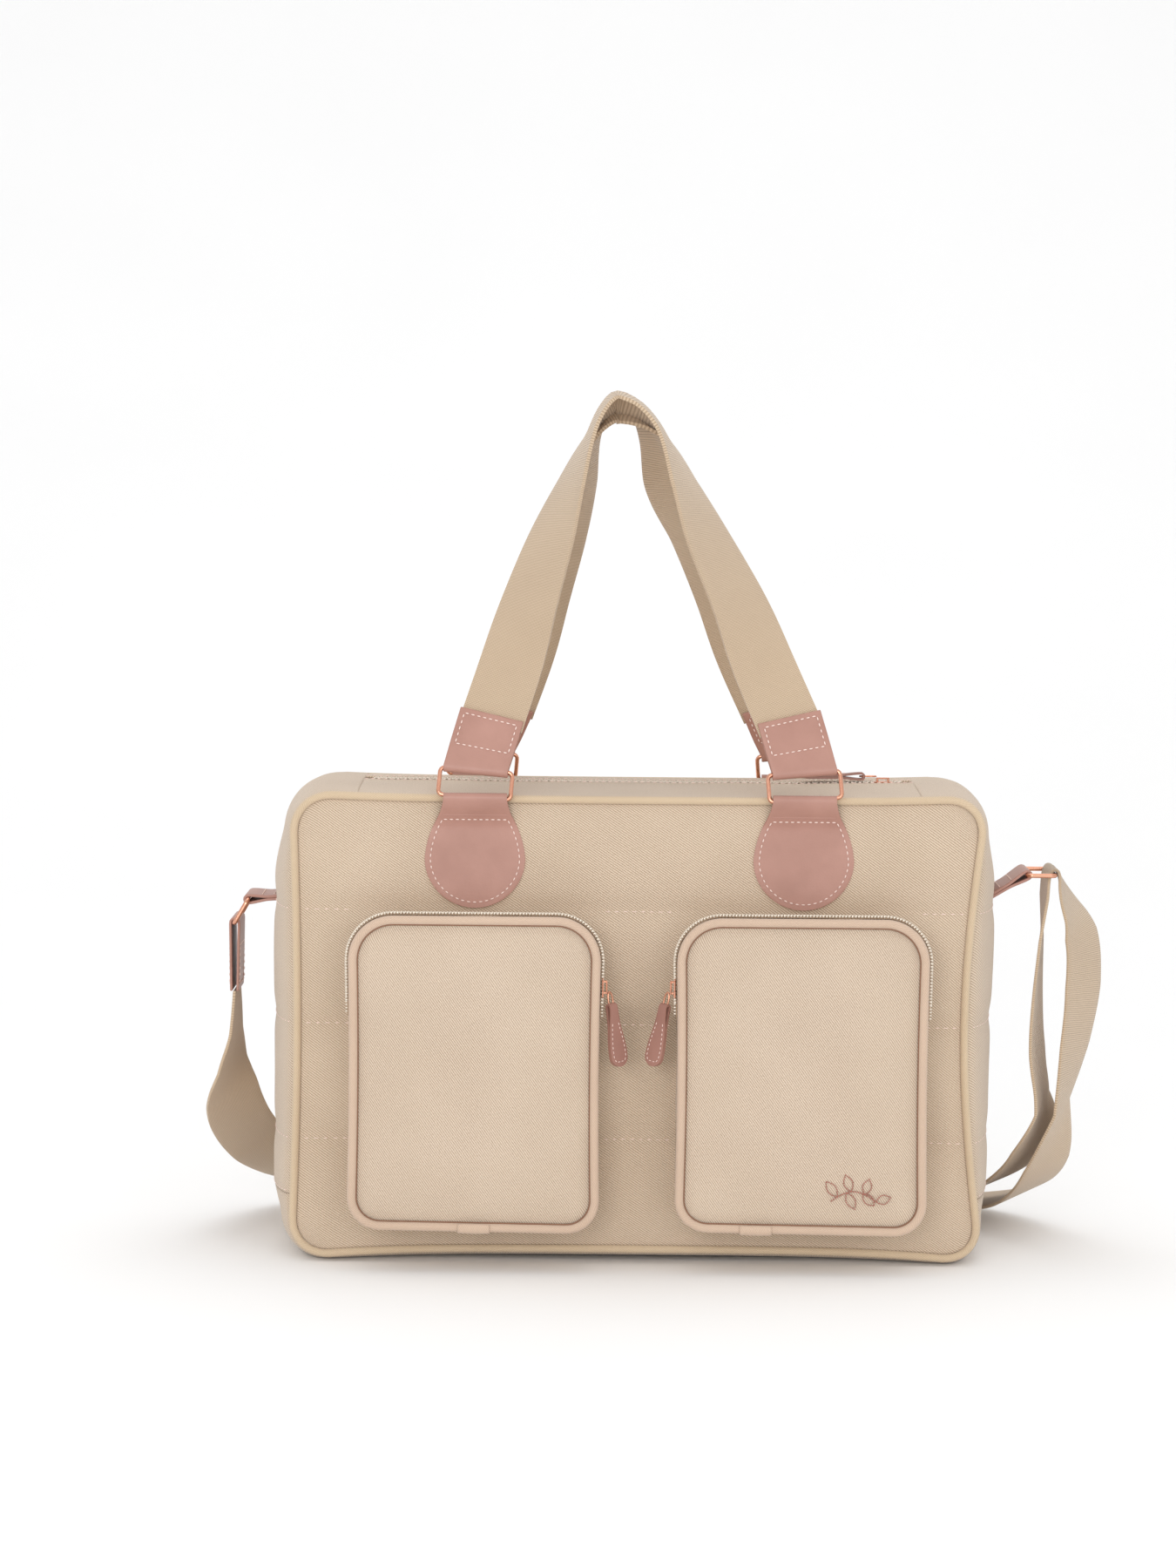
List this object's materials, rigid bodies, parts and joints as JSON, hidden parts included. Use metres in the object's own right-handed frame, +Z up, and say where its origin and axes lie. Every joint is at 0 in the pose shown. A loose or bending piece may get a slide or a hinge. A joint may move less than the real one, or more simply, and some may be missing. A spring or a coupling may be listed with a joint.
{
  "type": "diaper bag",
  "caption": "Boxy padded changing bag with piped panels, zipped top, zipped front pockets, webbing handles on rings and a shoulder strap.",
  "frame": {"origin": "centre of the base, on the surface that the bag stands on", "axes": "+X along the bag, -Y out of the front with the pockets, +Z up"},
  "size_m": [0.5293, 0.2505, 0.5313],
  "materials": {
    "twill": "diagonal twill canvas, beige",
    "pocket_twill": "diagonal twill canvas, paler beige",
    "piping": "bias-cut twill over cord",
    "webbing": "ribbed flat webbing, beige",
    "leather": "dusty pink smooth leather with pale stitching",
    "rose_metal": "rose gold plated wire, polished",
    "zip_teeth": "pale gold coil zip on beige tape",
    "lining": "plain woven lining",
    "foam": "soft padding",
    "board": "stiff base board"
  },
  "bodies": {
    "bag": {"front_panel": "twill", "back_panel": "twill", "base_panel": "twill", "side_gusset_left": "twill", "side_gusset_right": "twill", "front_padding": "foam", "back_padding": "foam", "lining": "lining", "base_board": "board", "front_piping": "piping", "back_piping": "piping", "side_loop_left": "leather", "side_loop_right": "leather", "side_ring_left": "rose_metal", "side_ring_right": "rose_metal", "strap_leather_end": "leather", "shoulder_strap": "webbing", "strap_slider": "rose_metal", "handle_tab_front_left": "leather", "handle_tab_front_right": "leather", "handle_tab_back_left": "leather", "handle_tab_back_right": "leather", "pocket_gusset_left": "pocket_twill", "pocket_face_left": "pocket_twill", "pocket_piping_lower_left": "piping", "pocket_zip_left": "zip_teeth", "pocket_gusset_right": "pocket_twill", "pocket_face_right": "pocket_twill", "pocket_piping_lower_right": "piping", "pocket_zip_right": "zip_teeth"},
    "top_front": {"top_panel_front": "twill", "main_zip_front": "zip_teeth"},
    "top_back": {"top_panel_back": "twill", "main_zip_back": "zip_teeth"},
    "main_slider": {"main_zip_slider": "rose_metal"},
    "main_pull": {"main_pull_link": "rose_metal", "main_pull": "leather"},
    "front_rings": {"front_ring_left": "rose_metal", "front_ring_right": "rose_metal"},
    "front_handle": {"front_handle_webbing": "webbing", "front_handle_end_left": "leather", "front_handle_end_right": "leather"},
    "back_rings": {"back_ring_left": "rose_metal", "back_ring_right": "rose_metal"},
    "back_handle": {"back_handle_webbing": "webbing", "back_handle_end_left": "leather", "back_handle_end_right": "leather"},
    "pocket_flap_left": {"pocket_flap_left": "pocket_twill", "pocket_piping_upper_left": "piping"},
    "pocket_slider_left": {"pocket_slider_left": "rose_metal"},
    "pocket_pull_left": {"pocket_pull_link_left": "rose_metal", "pocket_pull_left": "leather"},
    "pocket_flap_right": {"pocket_flap_right": "pocket_twill", "pocket_piping_upper_right": "piping"},
    "pocket_slider_right": {"pocket_slider_right": "rose_metal"},
    "pocket_pull_right": {"pocket_pull_link_right": "rose_metal", "pocket_pull_right": "leather"}
  },
  "joints": [
    {"name": "top_front_swing", "type": "hinge", "parent": "bag", "child": "top_front", "pos_m": [0, -0.071, 0.2835], "axis": [1, 0, 0], "range_deg": [0, 60]},
    {"name": "top_back_swing", "type": "hinge", "parent": "bag", "child": "top_back", "pos_m": [0, 0.071, 0.2835], "axis": [-1, 0, 0], "range_deg": [0, 60]},
    {"name": "main_zip_slide", "type": "slide", "parent": "top_front", "child": "main_slider", "axis": [-1, 0, 0], "range_m": [0, 0.295]},
    {"name": "main_pull_swing", "type": "hinge", "parent": "main_slider", "child": "main_pull", "pos_m": [0.145, 0, 0.2893], "axis": [0, 1, 0], "range_deg": [0, 150]},
    {"name": "front_ring_swing", "type": "hinge", "parent": "bag", "child": "front_rings", "pos_m": [0, -0.0805, 0.281], "axis": [1, 0, 0], "range_deg": [0, 120]},
    {"name": "front_handle_swing", "type": "hinge", "parent": "front_rings", "child": "front_handle", "pos_m": [0, -0.07567, 0.29699], "axis": [1, 0, 0], "range_deg": [0, 40]},
    {"name": "back_ring_swing", "type": "hinge", "parent": "bag", "child": "back_rings", "pos_m": [0, 0.0805, 0.281], "axis": [-1, 0, 0], "range_deg": [0, 120]},
    {"name": "back_handle_swing", "type": "hinge", "parent": "back_rings", "child": "back_handle", "pos_m": [0, 0.07567, 0.29699], "axis": [-1, 0, 0], "range_deg": [0, 40]},
    {"name": "pocket_flap_left_fold", "type": "hinge", "parent": "bag", "child": "pocket_flap_left", "pos_m": [-0.097, -0.1112, 0.15], "axis": [1, 0, 0], "range_deg": [0, 60]},
    {"name": "pocket_slider_left_slide", "type": "slide", "parent": "bag", "child": "pocket_slider_left", "axis": [0, 0, 1], "range_m": [0, 0.015]},
    {"name": "pocket_pull_left_swing", "type": "hinge", "parent": "pocket_slider_left", "child": "pocket_pull_left", "pos_m": [-0.0172, -0.104, 0.1675], "axis": [-1, 0, 0], "range_deg": [0, 100]},
    {"name": "pocket_flap_right_fold", "type": "hinge", "parent": "bag", "child": "pocket_flap_right", "pos_m": [0.097, -0.1112, 0.15], "axis": [1, 0, 0], "range_deg": [0, 60]},
    {"name": "pocket_slider_right_slide", "type": "slide", "parent": "bag", "child": "pocket_slider_right", "axis": [0, 0, 1], "range_m": [0, 0.015]},
    {"name": "pocket_pull_right_swing", "type": "hinge", "parent": "pocket_slider_right", "child": "pocket_pull_right", "pos_m": [0.0172, -0.104, 0.1675], "axis": [-1, 0, 0], "range_deg": [0, 100]}
  ],
  "couplings": [
    {"joint": "top_back_swing", "follows": "top_front_swing", "ratio": 1}
  ]
}
